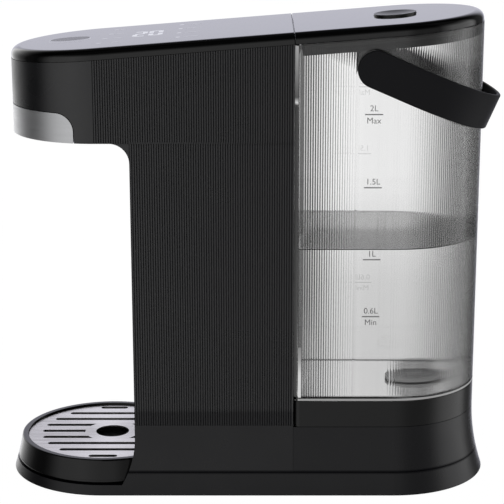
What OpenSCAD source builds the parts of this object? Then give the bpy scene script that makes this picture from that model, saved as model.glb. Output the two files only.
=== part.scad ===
// Hot water dispenser with a lift-off tank: fluted body with rounded ends, sloping glossy top,
// silver spout cover, round drip tray and a clear fluted tank with a swing handle.
// +X runs from the dispensing head to the tank, +Z is up, the origin is under the body's middle.

/* [Body] */
// Half width of the body, which is also the radius of its rounded ends
body_r = 55.5; // [52:0.5:60]
// Distance from the middle of the body to the centre of each rounded end
end_x = 93.5; // [90:0.5:100]
// Wall thickness of the large mouldings
wall = 2.5; // [2:0.1:3]
// Front face of the column
column_x = -72; // [-76:0.5:-68]
// Rear face of the column, where the tank stands
seam_x = 29; // [26:0.5:33]
// Clearance between the tank and the column
tank_gap = 0.3; // [0.3:0.05:1]

/* [Heights] */
// Lower edge of the base ring
ring_z0 = 1.2; // [1:0.1:2]
// Seam between the base ring and the mouldings above it
ring_z = 15.5; // [13:0.5:17]
// Height where the sides start to sweep out
flare_z = 46; // [46:0.5:52]
// Radius of the outward sweep at the foot of the body
flare_r = 140; // [120:5:200]
// Shelf that carries the tank
dock_z = 45; // [43:0.5:46]
// Underside of the dispensing head
head_z = 228; // [210:1:236]
// Height of the seam under the top covers, at the middle of the body
seam_z = 286; // [278:1:300]

/* [Top covers] */
// Slope of the top, in degrees
top_slope = 4.5; // [3:0.1:5.5]
// Thickness of the top covers at their rim
cover_h = 7; // [6.5:0.1:9]
// Rounding of the upper edge of the covers
cover_round = 5.5; // [3:0.5:5.5]
// Skin thickness of the top covers
cover_t = 2.4; // [2:0.1:2.8]
// Width of the seam between a cover and the wall under it
cover_seam = 0.25; // [0.2:0.05:0.5]
// Gap between the control cover and the lid
lid_seam = 0.6; // [0.4:0.1:1]

/* [Fluting] */
// Distance from flute to flute
flute_pitch = 1.5; // [1.5:0.1:3]
// Depth of the flutes
flute_depth = 0.4; // [0.2:0.05:0.6]
// Width of the smooth window strips in the tank
window_w = 22.2; // [18:0.2:28]
// Middle of the window strips, measured along the body
window_x = 77.2; // [73:0.1:80]

/* [Spout] */
// Upper edge of the silver spout cover
spout_z = 246.5; // [242:0.5:250]
// Distance from the front of the head to the rear edge of the spout cover
spout_in = 43.5; // [41:0.5:50]
// Rounding of the spout cover's upper rear corner
spout_corner = 11.5; // [8:0.5:16]
// Distance from the front of the head to the nozzle
nozzle_in = 37; // [33:1:39]
// Bore of the nozzle
nozzle_bore = 7; // [5:0.5:8]

/* [Drip tray] */
// Underside of the tray, just above the platform
tray_z0 = 8; // [8:0.1:9]
// Rim of the tray
tray_z = 23.5; // [22:0.5:26]
// Clearance round the tray in its pocket
tray_gap = 0.6; // [0.4:0.1:1]
// Height of the pocket's ceiling
pocket_z = 37; // [35.5:0.5:40]
// Width of the tray's rim round the grille
rim_w = 3.9; // [3.8:0.1:7]
// Thickness of the grille
grille_t = 1.2; // [0.8:0.1:1.5]
// Distance from slot to slot
slot_pitch = 11.7; // [10:0.1:14]
// Width of a slot
slot_w = 4.2; // [2:0.2:5]
// Radius of the drain hole in the grille
drain_r = 11; // [8:0.5:13]
// Distance of the drain hole's centre behind the middle of the tray
drain_x = 2.4; // [0:0.2:4]

/* [Tank] */
// Underside of the clear shell
tank_z0 = 62.3; // [60:0.1:65]
// Thickness of the tank's floor
tank_floor = 2.2; // [2:0.1:3]
// Radius of the tank's front corners
tank_corner = 4; // [3:0.5:5]
// Place of the valve along the body
valve_x = 106; // [102:1:110]
// Outer radius of the valve's spigot
spigot_r = 12; // [10:0.5:12.5]

/* [Handle] */
// Pivot of the handle along the body
pivot_x = 78.2; // [74:0.2:80]
// Height of the pivot
pivot_z = 273.8; // [268:0.2:275]
// Width of the strap
strap_w = 23; // [18:1:23]
// Thickness of the strap
strap_t = 2.6; // [2.2:0.1:3]
// Clearance between the strap and the side of the body
strap_gap = 1.9; // [1.8:0.1:3]
// Distance from the pivot to where the rounded bow starts
bow_u = 25; // [25:0.5:30]
// Angle of the hanging handle below the level, in degrees
hang = 23.4; // [20:0.2:23.4]
// Radius of the pivot pins
pin_r = 2.5; // [2:0.1:3]

/* [Lid button] */
// Radius of the button
button_r = 13.3; // [11:0.1:14]
// Height of the button above the lid
button_rise = 1.2; // [0.5:0.1:1.5]
// Travel of the button
button_travel = 2.5; // [1.5:0.1:3]

/* [Heater and pump] */
// Radius of the heater
heater_r = 20; // [15:0.5:20]
// Lower end of the heater
heater_z0 = 92; // [88:1:100]
// Length of the heater
heater_l = 120; // [90:1:124]
// Radius of the pump's motor
motor_r = 14; // [11:0.5:14]
// Height of the pump's axis
pump_z = 23.5; // [22.5:0.1:23.5]

/* [Hidden] */
$fn = 96;

black = [0.08, 0.08, 0.085];
fit = 0.3;                  // clearance between bodies that move apart
snug = 0.1;                 // clearance between pieces of one body
run = 0.06;                 // running clearance of pins and shafts
eps = 0.01;
inner_r = body_r - wall;
tank_x0 = seam_x + tank_gap;
flare_out = flare_r - sqrt(flare_r * flare_r - flare_z * flare_z);
spout_x = spout_in - end_x - body_r;
nozzle_x = nozzle_in - end_x - body_r;
big = 2 * (end_x + body_r + flare_out);

// How far the sides have swept out at height z
function flare(z) = z >= flare_z ? 0 : flare_r - sqrt(flare_r * flare_r - pow(flare_z - z, 2));

// ---------- shared outlines and sweeps ----------

// Section of the body's side, from the middle out to radius r, swept out at the foot
module side_section(r, z0, z1) {
    translate([0, z0]) square([r, z1 - z0]);
    if (z0 < flare_z) difference() {
        translate([0, z0]) square([r + flare_out + 1, min(z1, flare_z) - z0]);
        translate([r + flare_r, flare_z]) circle(flare_r, $fn = 360);
    }
}

// Carries a section along the straight sides from x0 to x1
module along_sides(x0, x1) {
    for (side = [0, 1])
        translate([x0, 0, 0]) rotate([90, 0, 90]) linear_extrude(x1 - x0)
            mirror([side, 0]) children();
}

// Carries a section round an end of the body: dir 1 is the rear end, -1 the front end
module round_end(x, dir) {
    translate([x, 0, 0]) rotate([0, 0, -90 * dir]) rotate_extrude(angle = 180) children();
}

// The whole body's plan, with a section all round
module all_round() {
    round_end(-end_x, -1) children();
    along_sides(-end_x, end_x) children();
    round_end(end_x, 1) children();
}

// Plan of the tank side of the body: flat front with small corners, round rear
module tank_plan(x0, xe, inset, corner) {
    r = body_r - inset;
    xc = x0 + inset + corner;
    translate([xe, 0]) circle(r);
    translate([xc, -r]) square([xe - xc, 2 * r]);
    translate([x0 + inset, corner - r]) square([corner + 1, 2 * (r - corner)]);
    for (s = [-1, 1]) translate([xc, s * (r - corner)]) circle(corner);
}

// Puts its children on the sloping seam plane: u runs up the slope, w is square to it
module on_slope() translate([0, 0, seam_z]) rotate([0, -top_slope, 0]) children();
function slope_u(x) = x / cos(top_slope);

// Everything above the seam plane
module above_seam(lift = 0) on_slope() translate([-big, -big, lift]) cube([2 * big, 2 * big, big]);

// A round tube or wire along a list of points, square to a reference direction
function unit(v) = v / norm(v);
function ring_at(p, t, ref, r, n) =
    let (a = unit(cross(t, ref)), b = unit(cross(a, t)))
    [for (k = [0:n - 1]) p + r * (cos(360 * k / n) * a + sin(360 * k / n) * b)];
function tangent(path, i) = unit(path[min(i + 1, len(path) - 1)] - path[max(i - 1, 0)]);
function blend(a, b, c, d, t) =
    0.5 * (2 * b + (c - a) * t + (2 * a - 5 * b + 4 * c - d) * t * t + (3 * b - a - 3 * c + d) * t * t * t);
// Straight at both ends, where a hose leaves its barb, and smooth between
function smooth(p, n) = [p[0], for (i = [1:len(p) - 3]) for (k = [0:n - 1])
    blend(p[i - 1], p[i], p[i + 1], p[i + 2], k / n), p[len(p) - 2], p[len(p) - 1]];

module swept(path, ref, r, n) {
    m = len(path);
    rings = [for (i = [0:m - 1]) ring_at(path[i], tangent(path, i), ref, r, n)];
    sides = [for (i = [0:m - 2]) for (k = [0:n - 1])
        [i * n + k, i * n + (k + 1) % n, (i + 1) * n + (k + 1) % n, (i + 1) * n + k]];
    ends = [[for (k = [n - 1:-1:0]) k], [for (k = [0:n - 1]) (m - 1) * n + k]];
    polyhedron([for (g = rings) each g], concat(sides, ends));
}

// A coil spring standing on z0
module coil(r, wire, z0, z1, turns) {
    steps = 12;
    swept([for (i = [0:turns * steps])
        [r * cos(360 * i / steps), r * sin(360 * i / steps), z0 + (z1 - z0) * i / (turns * steps)]],
        [0, 0, 1], wire, 6);
}

// A ring or disc with the given radii and heights
module ring(r0, r1, z0, z1) translate([0, 0, z0]) difference() {
    cylinder(r = r1, h = z1 - z0);
    if (r0 > 0) translate([0, 0, -1]) cylinder(r = r0, h = z1 - z0 + 2);
}

// ---------- fluting ----------

crest = 0.28;               // share of the pitch where the crest starts
function flute_count(length) = max(1, round(length / flute_pitch));

// Points of the flutes along a straight side at y, from xa to xb, valley first
function flutes_straight(xa, xb, y) = let (n = flute_count(abs(xb - xa)), p = (xb - xa) / n)
    [for (i = [0:n - 1]) each [[xa + i * p, y - flute_depth], [xa + (i + crest) * p, y],
        [xa + (i + 1 - crest) * p, y]], [xb, y - flute_depth]];

// Points of the flutes round a quarter of the tank's rear, from its side to its middle
function flutes_round(r) = let (n = flute_count(PI * r / 2), a = 90 / n)
    [for (i = [0:n - 1]) each [
        (r - flute_depth) * [sin(i * a), cos(i * a)],
        r * [sin((i + crest) * a), cos((i + crest) * a)],
        r * [sin((i + 1 - crest) * a), cos((i + 1 - crest) * a)]]];

// ---------- base ----------

plate_z0 = 2;               // underside of the bottom plate
plate_t = 2.5;
platform_t = 2.5;
platform_top = tray_z0 - 0.5;
platform_x = column_x + 36;
front_r = 56;               // radius of the sweep at the column's foot
plate_r = inner_r + flare(plate_z0 + plate_t) - fit;
screw_x = [-24, 35, 95];
screw_y = body_r - 1.5;
boss_r = 5;
boss_z = 12;
foot_r = 8;
foot_x = 105;
foot_y = 36;
gland_x = 60;
gland_r = 4;
gland_z = plate_z0 + plate_t + gland_r + 1.4;

// Side view of the column's front, which sweeps forward at its foot
module front_section(z0, z1) {
    translate([column_x, z0]) square([seam_x - column_x, z1 - z0]);
    if (z0 < pocket_z) difference() {
        translate([column_x - 15, z0]) square([16, min(z1, pocket_z) - z0]);
        translate([column_x - front_r, pocket_z]) circle(front_r, $fn = 180);
    }
}
module across(half) rotate([90, 0, 0]) translate([0, 0, -half]) linear_extrude(2 * half) children();

// The space that the tray needs, with gap g round it
module tray_room(g, z0, z1) {
    translate([-end_x, 0, 0]) rotate_extrude() side_section(body_r + g, z0, tray_z);
    translate([-end_x, 0, tray_z - eps]) cylinder(r = body_r + g + flare(tray_z), h = z1 - tray_z);
}

module base_ring() color(black) difference() {
    union() {
        difference() {
            all_round() side_section(body_r, ring_z0, ring_z);
            difference() {
                all_round() side_section(inner_r, ring_z0 - 1, ring_z + 1);
                translate([-big, -big, platform_top - platform_t])
                    cube([big + platform_x, 2 * big, platform_t]);
            }
        }
        for (x = screw_x, s = [-1, 1]) translate([x, s * screw_y, plate_z0 + plate_t + 0.2])
            cylinder(r = boss_r, h = boss_z - plate_z0 - plate_t);
    }
    tray_room(tray_gap, platform_top, pocket_z);
    difference() {
        translate([-big, -big, platform_top]) cube([big + column_x, 2 * big, big]);
        across(big) front_section(0, ring_z + 1);
    }
    for (x = screw_x, s = [-1, 1]) translate([x, s * screw_y, 0]) cylinder(r = 1.55, h = boss_z - 1);
    translate([gland_x, 0, gland_z]) rotate([-90, 0, 0]) cylinder(r = gland_r + snug, h = big);
}

module bottom_plate() color([0.12, 0.12, 0.12]) difference() {
    translate([0, 0, plate_z0]) linear_extrude(plate_t) union() {
        for (s = [-1, 1]) translate([s * end_x, 0]) circle(plate_r);
        translate([-end_x, -plate_r]) square([2 * end_x, 2 * plate_r]);
    }
    for (x = screw_x, s = [-1, 1]) translate([x, s * screw_y, 0]) {
        cylinder(r = 1.8, h = 10);
        cylinder(r = 3.4, h = plate_z0 + 1.6);
    }
    for (i = [0:6]) translate([60 + 6 * i, -14, 0]) cube([2.4, 28, 10]);
}

module feet() color([0.05, 0.05, 0.05]) for (x = [-foot_x, foot_x], s = [-1, 1])
    translate([x, s * foot_y, 0]) {
        cylinder(r1 = foot_r - 0.6, r2 = foot_r, h = 0.6);
        translate([0, 0, 0.6]) cylinder(r = foot_r, h = plate_z0 - 0.6);
    }

module base_screws() color("silver") for (x = screw_x, s = [-1, 1]) translate([x, s * screw_y, 0]) {
    ring(0, 3.1, plate_z0 + 0.2, plate_z0 + 1.6);
    ring(0, 1.5, plate_z0 + 1.6, boss_z - 2);
}

module cord_gland() color([0.06, 0.06, 0.06]) translate([gland_x, 0, gland_z]) rotate([-90, 0, 0])
    difference() {
        y_in = inner_r + flare(gland_z) - 2.5;
        union() {
            ring(0, gland_r, y_in, body_r + flare(gland_z) + 1.2);
            ring(0, gland_r + 1.2, y_in - 1.5, y_in);
        }
        cylinder(r = gland_r - 1.3, h = big);
    }

// ---------- column and head ----------

seam_gap = 0.15;            // half of the visible seam between two fixed mouldings
neck_r = 12.5;              // rounding under the head
smooth_x = -end_x;          // the flutes of the head start here
floor_t = 2.5;
spout_gap = 0.5;            // visible gap along the spout cover

// Plan of the column with its fluted sides
module column_plan(x0) {
    for (s = [0, 1]) mirror([0, s]) polygon(concat([[x0, 0]],
        x0 < smooth_x ? [[x0, body_r], [smooth_x, body_r]] : [],
        flutes_straight(max(x0, smooth_x), seam_x, body_r), [[seam_x, 0]]));
}

// Side view of the silver spout cover, inset by g
module spout_side(g) {
    translate([-big, head_z]) square([big + spout_x - g, spout_z - head_z - spout_corner]);
    translate([-big, head_z]) square([big + spout_x - spout_corner, spout_z - head_z - g]);
    translate([spout_x - spout_corner, spout_z - spout_corner]) circle(spout_corner - g);
}

// Side view of the rounding under the head
module neck_side() translate([column_x, head_z]) difference() {
    translate([-neck_r, -neck_r]) square([neck_r + 1, neck_r + floor_t / 2]);
    translate([-neck_r, -neck_r]) circle(neck_r);
}

module head_plan() {
    intersection() {
        translate([-end_x, 0]) circle(body_r);
        translate([smooth_x - big, -big]) square([big + eps, 2 * big]);
    }
    column_plan(smooth_x);
}

module tower_shell() color(black) difference() {
    union() {
        // foot with its smooth, swept sides
        intersection() {
            along_sides(column_x - 14, seam_x) side_section(body_r, ring_z + seam_gap, flare_z + eps);
            across(big) front_section(ring_z + seam_gap, flare_z + eps);
        }
        translate([0, 0, flare_z]) linear_extrude(head_z - flare_z + 1) column_plan(column_x);
        translate([0, 0, head_z]) linear_extrude(seam_z - head_z + 20) head_plan();
        intersection() {
            across(body_r - flute_depth) neck_side();
            translate([0, 0, head_z - 2 * neck_r]) linear_extrude(4 * neck_r) head_plan();
        }
    }
    above_seam();
    // inside of the foot, open towards the rear housing
    intersection() {
        along_sides(column_x - 14, seam_x + 1) side_section(inner_r, ring_z - 1, dock_z);
        translate([column_x + wall, -big, 0]) cube([big, 2 * big, big]);
    }
    // inside of the column and of the head
    translate([column_x + wall, -inner_r, dock_z - eps])
        cube([seam_x - wall - column_x - wall, 2 * inner_r, big]);
    translate([0, 0, head_z + floor_t]) linear_extrude(big) union() {
        translate([-end_x, 0]) circle(inner_r);
        translate([-end_x, -inner_r]) square([end_x + seam_x - wall, 2 * inner_r]);
    }
    across(big) spout_side(0);
    tray_room(tray_gap, 0, pocket_z);
}

module spout_cover() color([0.72, 0.73, 0.75]) difference() {
    intersection() {
        across(big) spout_side(spout_gap);
        translate([0, 0, head_z]) linear_extrude(spout_z - head_z) head_plan();
    }
    translate([0, 0, head_z + floor_t]) linear_extrude(big) union() {
        translate([-end_x, 0]) circle(inner_r);
        translate([-end_x, -inner_r]) square([big, 2 * inner_r]);
    }
    translate([nozzle_x, 0, head_z - 1]) cylinder(r = nozzle_bore / 2 + 3, h = 10);
}

// Moulded pocket behind the tray, inside the column's foot
dock_t = 1.8;
module tray_dock() color([0.07, 0.07, 0.07]) intersection() {
    difference() {
        tray_room(tray_gap + dock_t, tray_z0 - 0.3, pocket_z + dock_t);
        tray_room(tray_gap, 0, pocket_z);
    }
    translate([column_x + wall + snug, -inner_r + snug, 0])
        cube([big, 2 * (inner_r - snug), pocket_z + dock_t]);
}

module rear_housing() color(black) difference() {
    union() {
        along_sides(seam_x + seam_gap, end_x) side_section(body_r, ring_z + seam_gap, dock_z);
        round_end(end_x, 1) side_section(body_r, ring_z + seam_gap, dock_z);
    }
    along_sides(seam_x - 1, end_x) side_section(inner_r, 0, dock_z - floor_t);
    round_end(end_x, 1) side_section(inner_r, 0, dock_z - floor_t);
    translate([valve_x, 0, 0]) {
        cylinder(r = socket_r + wall + 1, h = big);
        translate([0, 0, dock_z - flange_t]) cylinder(r = flange_r + fit, h = big);
    }
}

// ---------- top cover and controls ----------

board_x0 = nozzle_x - 20;
board_x1 = -32;
board_w = 56;
board_t = 1.6;
board_z = cover_h - cover_t - board_t - 1;
board_gap = 5;              // from the edge of the control board to its posts
post_r = 2.5;
chip = 9;
chip_t = 2.5;
chip_pitch = 20;
plug_w = 16;
plug_h = 8;
digit_x = -64;
display_l = 28;
display_w = 18;
touch_r = 12.5;

// Section of a cover with a rounded upper edge
module cover_section(r) intersection() {
    union() {
        square([r, cover_h - cover_round]);
        square([r - cover_round, cover_h]);
        translate([r - cover_round, cover_h - cover_round]) circle(cover_round);
    }
    translate([0, cover_seam]) square([r + 1, cover_h]);
}

module top_cover() color([0.05, 0.05, 0.055]) on_slope() {
    ue = slope_u(end_x);
    u1 = slope_u(seam_x) - seam_gap;
    difference() {
        union() {
            round_end(-ue, -1) cover_section(body_r);
            along_sides(-ue, u1) cover_section(body_r);
            translate([0, 0, -3]) linear_extrude(5) cover_inside(ue, u1, snug * 3);
        }
        translate([0, 0, -big]) linear_extrude(big + cover_h - cover_t) cover_inside(ue, u1, 1.5);
    }
    for (x = [board_x0 + board_gap, board_x1 - board_gap], s = [-1, 1])
        translate([x, s * (board_w / 2 - board_gap), board_z + board_t])
            cylinder(r = post_r, h = cover_h - cover_t - board_z - board_t + eps);
}
module cover_inside(ue, u1, inset) {
    translate([-ue, 0]) circle(inner_r - inset);
    translate([-ue, inset - inner_r]) square([ue + u1 - wall - inset, 2 * (inner_r - inset)]);
}

module touch_sensor() color([0.8, 0.6, 0.3]) on_slope() translate([nozzle_x, 0, 0])
    ring(touch_r - 3, touch_r, board_z + board_t, cover_h - cover_t);

module display_module() color([0.2, 0.2, 0.22]) on_slope()
    translate([digit_x - display_l / 2, -display_w / 2, board_z + board_t])
        cube([display_l, display_w, cover_h - cover_t - board_z - board_t]);

module control_board() color([0.05, 0.3, 0.15]) on_slope() {
    translate([board_x0, -board_w / 2, board_z]) cube([board_x1 - board_x0, board_w, board_t]);
    for (i = [0:3]) translate([board_x0 + 1.5 * chip + chip_pitch * i, -1.5 * chip, board_z - chip_t])
        cube([chip, chip, chip_t]);
    translate([board_x1 - 2 * plug_h, plug_h, board_z - plug_h]) cube([plug_h, plug_w, plug_h]);
}

// ---------- spout ----------

chamber_r = 16;
chamber_z = head_z + floor_t + 2;
chamber_h = 24;
barb_r = 4;
hose_r = 5;
hose_bore = 2.6;
tube_z = chamber_z + chamber_h - 6;
chamber_end = nozzle_x + chamber_r + 8;

module nozzle() color([0.15, 0.15, 0.16]) translate([nozzle_x, 0, 0]) {
    ring(nozzle_bore / 2, nozzle_bore / 2 + 2.4, head_z - 6, chamber_z);
    ring(nozzle_bore / 2, nozzle_bore / 2 + 8, head_z + floor_t, chamber_z);
}

module outlet_chamber() color([0.85, 0.85, 0.82]) difference() {
    translate([nozzle_x, 0, 0]) {
        ring(0, chamber_r, chamber_z, chamber_z + chamber_h);
        translate([0, 0, tube_z]) rotate([0, 90, 0]) cylinder(r = barb_r, h = chamber_end - nozzle_x);
    }
    translate([nozzle_x, 0, 0]) ring(0, chamber_r - 2, chamber_z + 2, chamber_z + chamber_h - 1.6);
    translate([nozzle_x, 0, 0]) ring(0, nozzle_bore / 2, chamber_z - 1, chamber_z + 3);
    translate([nozzle_x, 0, tube_z]) rotate([0, 90, 0]) cylinder(r = hose_bore, h = big);
}

// ---------- frame, heater and boards inside the column ----------

frame_z0 = pocket_z + dock_t;
frame_z1 = head_z - 4;
frame_y = 4;
frame_t = 2.5;
frame_x0 = column_x + wall + 3;
frame_x1 = seam_x - wall - 3;
heater_x = (column_x + seam_x) / 2 + 21.5;
heater_y = frame_y - 8 - heater_r;
heater_z1 = heater_z0 + heater_l;
cap_t = 6;
barb_l = 8;
shelf_d = 44;               // depth of the frame's foot
shelf_y = frame_y - 18;
saddle_w = 26;              // the two saddles that hold the heater
saddle_d = 14;
saddle_h = 8;
hatch_w = 18;               // the two openings for wires
hatch_h = 24;
disc_r = 7.5;               // thermostats
disc_t = 2;
can_r = 6;
can_t = 5;
pcb_t = 1.6;
pcb_y = frame_y + frame_t + 5.5;
pcb_x0 = frame_x0 + 8;
pcb_x1 = frame_x1 - 6;
pcb_z0 = frame_z0 + 22;
pcb_z1 = frame_z1 - 30;

module inner_frame() color([0.55, 0.57, 0.6]) {
    difference() {
        union() {
            translate([frame_x0, frame_y, frame_z0])
                cube([frame_x1 - frame_x0, frame_t, frame_z1 - frame_z0]);
            translate([frame_x0, shelf_y, frame_z0]) cube([frame_x1 - frame_x0, shelf_d, frame_t]);
            for (z = [heater_z0 + 1.5 * saddle_h, heater_z1 - 2.5 * saddle_h])
                translate([heater_x - saddle_w / 2, frame_y - saddle_d, z])
                    cube([saddle_w, saddle_d + eps, saddle_h]);
        }
        for (x = [frame_x0 + hatch_w / 2, frame_x1 - 1.7 * hatch_w])
            translate([x, 0, frame_z0 + hatch_h / 2]) cube([hatch_w, frame_y + 2 * frame_t, hatch_h]);
        translate([heater_x, heater_y, 0]) cylinder(r = heater_r + snug / 2, h = big);
        on_pump() cylinder(r = volute_r + 1, h = big);
        translate([outlet_x - hose_r - 1, outlet_y + hose_r + 1 - big, 0]) cube([big, big, heater_z0]);
    }
    for (x = [pcb_x0 + 5, pcb_x1 - 5], z = [pcb_z0 + 5, pcb_z1 - 5])
        translate([x, frame_y + frame_t - eps, z]) rotate([-90, 0, 0])
            cylinder(r = 2.5, h = pcb_y - frame_y - frame_t + eps);
}

module heater_body() color([0.75, 0.75, 0.78]) translate([heater_x, heater_y, 0])
    ring(heater_r - 3, heater_r, heater_z0, heater_z1);

module heater_caps() color([0.3, 0.3, 0.32]) translate([heater_x, heater_y, 0]) {
    for (end = [[heater_z0, -1], [heater_z1, 1]]) translate([0, 0, end[0]]) mirror([0, 0, end[1] < 0 ? 1 : 0])
        difference() {
            union() {
                cylinder(r = heater_r + 1, h = cap_t);
                cylinder(r = barb_r, h = cap_t + barb_l);
            }
            translate([0, 0, -1]) cylinder(r = hose_bore, h = cap_t + barb_l + 2);
        }
}

module thermostats() color([0.9, 0.88, 0.8]) for (z = [heater_z0 + 30, heater_z1 - 40])
    translate([heater_x, heater_y - heater_r, z]) rotate([90, 0, 0]) difference() {
        union() {
            translate([0, 0, -2]) cylinder(r = can_r, h = can_t);
            cylinder(r = disc_r, h = disc_t);
        }
        translate([0, heater_z0 - z, heater_r * -1]) rotate([-90, 0, 0])
            cylinder(r = heater_r + snug / 2, h = heater_l);
    }

part_gap = 8;               // spacing of the parts on the power board
slit_l = 30;                // slits that keep mains and low voltage apart
slit_w = 2;
transformer_w = 28;
transformer_d = 22;
transformer_h = 24;
relay_w = 18;
relay_d = 14;
relay_h = 20;
capacitor_r = 5;
capacitor_l = 18;
capacitor_pitch = 13;
capacitor_z = 80;
terminal_w = 40;
terminal_d = 8;
terminal_h = 12;
sink_w = 10;
sink_d = 12;
sink_h = 28;

module power_board() color([0.1, 0.35, 0.15]) difference() {
    translate([pcb_x0, pcb_y, pcb_z0]) cube([pcb_x1 - pcb_x0, pcb_t, pcb_z1 - pcb_z0]);
    for (x = [transformer_w - slit_w, transformer_w + relay_w + part_gap / 2])
        translate([pcb_x0 + x, pcb_y - 1, pcb_z0 + transformer_h + 2 * part_gap])
            cube([slit_w, pcb_t + 2, slit_l]);
}

module board_components() color([0.2, 0.25, 0.5]) translate([pcb_x0, pcb_y + pcb_t, pcb_z0]) {
    translate([part_gap, 0, part_gap]) cube([transformer_w, transformer_d, transformer_h]);
    translate([transformer_w + 2 * part_gap, 0, part_gap]) cube([relay_w, relay_d, relay_h]);
    for (i = [0:2]) translate([part_gap + capacitor_r + capacitor_pitch * i, 0, capacitor_z])
        rotate([-90, 0, 0]) cylinder(r = capacitor_r, h = capacitor_l);
    translate([part_gap, 0, capacitor_z + capacitor_r + part_gap])
        cube([terminal_w, terminal_d, terminal_h]);
    translate([transformer_w + 3 * part_gap, 0, capacitor_z + capacitor_r - sink_h])
        cube([sink_w, sink_d, sink_h]);
}

// ---------- pump ----------

pump_x = seam_x - 21;       // face between motor and volute
motor_l = 34;
volute_l = 16;
volute_r = motor_r + 3;
shaft_r = 1.5;
shaft_l = 16;
hub_r = 3.5;
vane_t = 1.4;
vane_w = 5;
disc_gap = 2;
inlet_end = pump_x + volute_l + barb_l;
outlet_y = -(volute_r - barb_r - 1);
outlet_x = pump_x + volute_l / 2;
outlet_top = pump_z + volute_r + 7;

module on_pump() translate([0, 0, pump_z]) rotate([0, 90, 0]) children();

module pump_motor() color([0.6, 0.6, 0.62]) on_pump() difference() {
    union() {
        ring(0, motor_r, pump_x - motor_l, pump_x);
        ring(0, motor_r - 5, pump_x - motor_l - 2, pump_x - motor_l);
    }
    translate([0, 0, pump_x - shaft_l]) cylinder(r = shaft_r + run, h = shaft_l + 4);
}

module pump_cradle() color([0.08, 0.08, 0.08]) difference() {
    translate([pump_x - motor_l + 5, -motor_r - 1, plate_z0 + plate_t])
        cube([motor_l - 12, 2 * motor_r + 2, pump_z - plate_z0 - plate_t - 7]);
    on_pump() cylinder(r = motor_r + snug / 2, h = 3 * big, center = true);
}

module pump_volute() color([0.82, 0.82, 0.8]) difference() {
    union() {
        on_pump() ring(0, volute_r, pump_x, pump_x + volute_l);
        on_pump() ring(0, barb_r, pump_x + volute_l, inlet_end);
        translate([outlet_x, outlet_y, pump_z]) cylinder(r = barb_r, h = outlet_top - pump_z);
    }
    on_pump() ring(0, volute_r - 3, pump_x + 2, pump_x + volute_l - 2);
    on_pump() ring(0, shaft_r + 0.6, pump_x - 1, pump_x + 3);
    on_pump() ring(0, hose_bore, pump_x + volute_l - 3, big);
    translate([outlet_x, outlet_y, pump_z]) cylinder(r = hose_bore, h = big);
}

module pump_impeller() color([0.9, 0.9, 0.92]) on_pump() {
    disc_x = pump_x + 2 * disc_gap;
    ring(0, shaft_r, disc_x - shaft_l, disc_x);
    ring(0, volute_r - 4.5, disc_x, disc_x + disc_gap);
    ring(0, hub_r, disc_x + disc_gap, disc_x + disc_gap + vane_w);
    for (i = [0:5]) rotate([0, 0, 60 * i]) translate([hub_r - 0.5, -vane_t / 2, disc_x + disc_gap])
        cube([volute_r - 4.5 - hub_r, vane_t, vane_w]);
}

module inlet_tube() color([0.9, 0.9, 0.92]) on_pump()
    ring(hose_bore, hose_r, inlet_end, valve_x - socket_r - 10);

module pump_tube() color([0.9, 0.9, 0.92]) swept(smooth([
    [outlet_x, outlet_y, outlet_top],
    [outlet_x, outlet_y, outlet_top + 6],
    [outlet_x - 4, outlet_y - 3, outlet_top + 12],
    [heater_x + 2, heater_y + 2, heater_z0 - cap_t - barb_l - 8],
    [heater_x, heater_y, heater_z0 - cap_t - barb_l - 3],
    [heater_x, heater_y, heater_z0 - cap_t - barb_l]], 3), [0, 1, 0], hose_r, 12);

hot_z = heater_z1 + cap_t + barb_l;
module hot_tube() color([0.9, 0.9, 0.92]) swept(smooth([
    [heater_x, heater_y, hot_z],
    [heater_x, heater_y, hot_z + 5],
    [heater_x - 8, heater_y + 1, hot_z + 18],
    [heater_x - 32, heater_y + 8, tube_z + 4],
    [chamber_end + 22, -5, tube_z + 2],
    [chamber_end + 7, 0, tube_z],
    [chamber_end, 0, tube_z]], 3), [0, 1, 0], hose_r, 12);

// ---------- dock ----------

socket_r = spigot_r + 3;
flange_r = socket_r + 7.5;
flange_t = 1.5;
socket_h = 18;
cup_h = 9;                  // cup under the ledge, which the pump draws from
ledge_t = 2.4;
dock_pin_r = 2.2;
ledge_z = dock_z - socket_h;
pin_top = ledge_z + 3.3;

module dock_socket() color([0.2, 0.2, 0.21]) translate([valve_x, 0, 0]) difference() {
    union() {
        ring(0, flange_r, dock_z - flange_t, dock_z);
        ring(0, socket_r + wall, ledge_z - ledge_t, dock_z);
        ring(0, spigot_r + 1.2, ledge_z - cup_h, ledge_z);
        translate([0, 0, pump_z]) rotate([0, -90, 0]) cylinder(r = barb_r, h = socket_r + 10);
    }
    difference() {
        union() {
            ring(0, socket_r, ledge_z, dock_z + 1);
            ring(0, spigot_r - 1, ledge_z - cup_h + 2, ledge_z + 1);
        }
        ring(0, dock_pin_r, ledge_z - cup_h - 1, pin_top);
    }
    translate([0, 0, pump_z]) rotate([0, -90, 0]) translate([0, 0, 4]) cylinder(r = hose_bore, h = big);
}

module dock_seal() color([0.75, 0.3, 0.25]) translate([valve_x, 0, 0]) difference() {
    ring(spigot_r + fit, socket_r - snug, ledge_z, ledge_z + 4);
    ring(spigot_r + 1.4, socket_r - 1, ledge_z + 2, ledge_z + 5);
}

// ---------- tank ----------

base_z0 = dock_z + tank_gap;
base_t = 2;
tank_in = tank_z0 + tank_floor;
gasket_t = 0.8;
valve_wall = 2.5;
valve_z0 = ledge_z + 0.4;
seat_z = valve_z0 + 2.2;
poppet_z = pin_top + fit;
hub_z = poppet_z + 15.4;
stem_r = 2;
boss_face = body_r + strap_gap - 0.4;

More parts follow.
